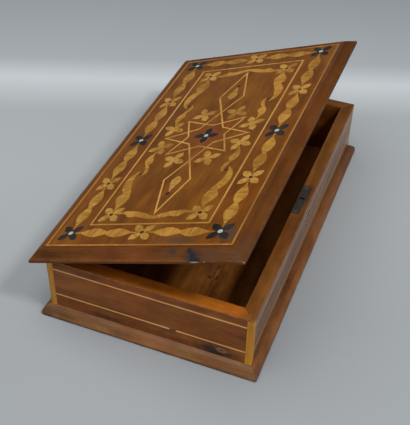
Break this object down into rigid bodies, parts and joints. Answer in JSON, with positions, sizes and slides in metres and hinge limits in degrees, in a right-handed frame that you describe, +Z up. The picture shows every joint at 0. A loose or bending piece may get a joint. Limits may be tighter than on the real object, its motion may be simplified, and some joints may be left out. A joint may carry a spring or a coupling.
{
  "type": "document box",
  "caption": "Wooden document box with a hinged inlaid lid, moulded base and a half-mortise lock with a sliding bolt.",
  "frame": {"origin": "middle of the flat underside that the box stands on, under the middle of its base moulding", "axes": "+X along the box's length, -Y towards the lock side and +Y towards the hinges, +Z up; at rest the lid stands open as in the picture"},
  "size_m": [0.33, 0.1968, 0.13],
  "materials": {
    "wall_wood": "polished brown fruitwood, worn",
    "moulding_wood": "polished red-brown fruitwood",
    "lip_wood": "polished orange-brown wood",
    "floor_wood": "bare, dark with age",
    "panel_wood": "polished golden-brown wood",
    "boxwood": "polished yellow boxwood",
    "boxwood_string": "polished yellow boxwood stringing",
    "ebony": "polished black wood",
    "dark_wood": "dark brown wood",
    "pearl": "polished mother-of-pearl",
    "brass": "tarnished",
    "steel": "aged",
    "dark_steel": "dark, rusted brown-black"
  },
  "bodies": {
    "box": {"bottom_board": "floor_wood", "wall_front": "wall_wood", "wall_right": "wall_wood", "wall_back": "wall_wood", "wall_left": "wall_wood", "plinth_front": "moulding_wood", "plinth_right": "moulding_wood", "plinth_back": "moulding_wood", "plinth_left": "moulding_wood", "rim_lip_front": "lip_wood", "rim_lip_right": "lip_wood", "rim_lip_back": "lip_wood", "rim_lip_left": "lip_wood", "corner_strips": "boxwood_string", "wall_strings_front": "boxwood_string", "wall_strings_right": "boxwood_string", "wall_strings_back": "boxwood_string", "wall_strings_left": "boxwood_string", "hinge_left_box_leaf": "brass", "hinge_left_pin": "steel", "hinge_right_box_leaf": "brass", "hinge_right_pin": "steel", "hinge_box_screws": "brass", "lock_plate": "dark_steel", "lock_case": "steel", "lock_key_pin": "steel", "lock_screws": "steel"},
    "lid": {"lid_panel": "panel_wood", "lid_frame_front": "moulding_wood", "lid_frame_right": "moulding_wood", "lid_frame_back": "moulding_wood", "lid_frame_left": "moulding_wood", "lid_outer_string": "boxwood_string", "lid_inner_string": "boxwood_string", "lid_border_leaves": "boxwood", "lid_border_flowers": "boxwood", "lid_dark_flowers": "ebony", "lid_pearl_discs": "pearl", "lid_dark_discs": "dark_wood", "lid_corner_flowers": "boxwood", "lid_star_flowers": "boxwood", "lid_long_scrolls": "boxwood", "lid_short_scrolls": "boxwood", "lid_end_leaves": "boxwood", "lid_kite_band": "boxwood_string", "lid_star_band": "boxwood_string", "lid_kite_leaves": "boxwood", "hinge_left_lid_leaf": "brass", "hinge_right_lid_leaf": "brass", "hinge_lid_screws": "brass", "link_plate": "dark_steel", "link_staple": "dark_steel", "link_screws": "steel"},
    "bolt": {"lock_bolt": "steel", "lock_back_spring": "steel"}
  },
  "joints": [
    {"name": "lid_hinge", "type": "hinge", "parent": "box", "child": "lid", "pos_m": [0, 0.0918, 0.0608], "axis": [-1, 0, 0], "range_deg": [-20.2, 89.8]},
    {"name": "bolt_slide", "type": "slide", "parent": "box", "child": "bolt", "axis": [1, 0, 0], "range_m": [0, 0.005]}
  ]
}
